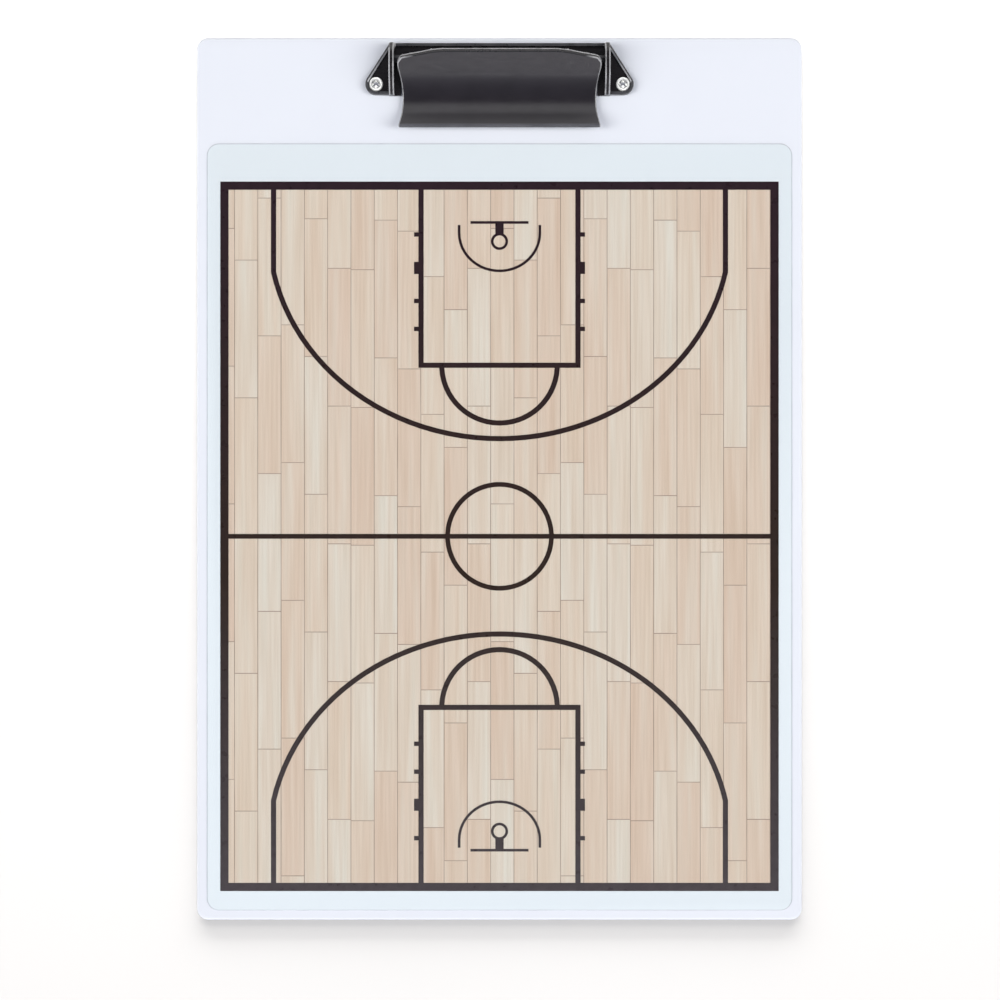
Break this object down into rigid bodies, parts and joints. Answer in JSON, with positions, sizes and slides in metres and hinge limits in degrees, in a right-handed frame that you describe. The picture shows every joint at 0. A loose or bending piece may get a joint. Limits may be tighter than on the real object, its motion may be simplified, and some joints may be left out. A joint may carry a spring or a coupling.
{
  "type": "tactics board",
  "caption": "Flat clipboard-style tactics board with a printed wood-floor court sheet and a sprung lever clip that holds paper at its top edge.",
  "frame": {"origin": "middle of the board's back face, on the surface that it lies on", "axes": "+X to the right of the printed court, +Y towards the clip, +Z out of the printed face"},
  "size_m": [0.24, 0.35, 0.0172],
  "materials": {
    "white_plastic": "smooth white moulded plastic",
    "sheet_white": "glossy bluish white dry-erase sheet",
    "wood_print": "print of pale wood planks",
    "black_ink": "black printed court lines",
    "clear_film": "clear thin film",
    "black_plastic": "glossy black moulded plastic",
    "lever_plastic": "satin black moulded plastic",
    "steel": "blackened steel pin",
    "spring_steel": "bright spring wire",
    "nickel": "nickel plated"
  },
  "bodies": {
    "board": {"board": "white_plastic", "court_sheet": "sheet_white", "court_floor": "wood_print", "court_markings": "black_ink", "cover_film": "clear_film", "clip_base": "black_plastic", "hinge_pin": "steel", "spring_left": "spring_steel", "spring_right": "spring_steel", "rivet_left": "nickel", "rivet_right": "nickel", "rivet_washer_left": "nickel", "rivet_washer_right": "nickel"},
    "lever": {"clip_lever": "lever_plastic"}
  },
  "joints": [
    {"name": "lever_hinge", "type": "hinge", "parent": "board", "child": "lever", "pos_m": [0, 0.16562, 0.0079], "axis": [-1, 0, 0], "range_deg": [0, 30], "stiffness_Nm_per_rad": 0.15, "springref_deg": -45.84, "deforming": ["spring_left", "spring_right"]}
  ]
}
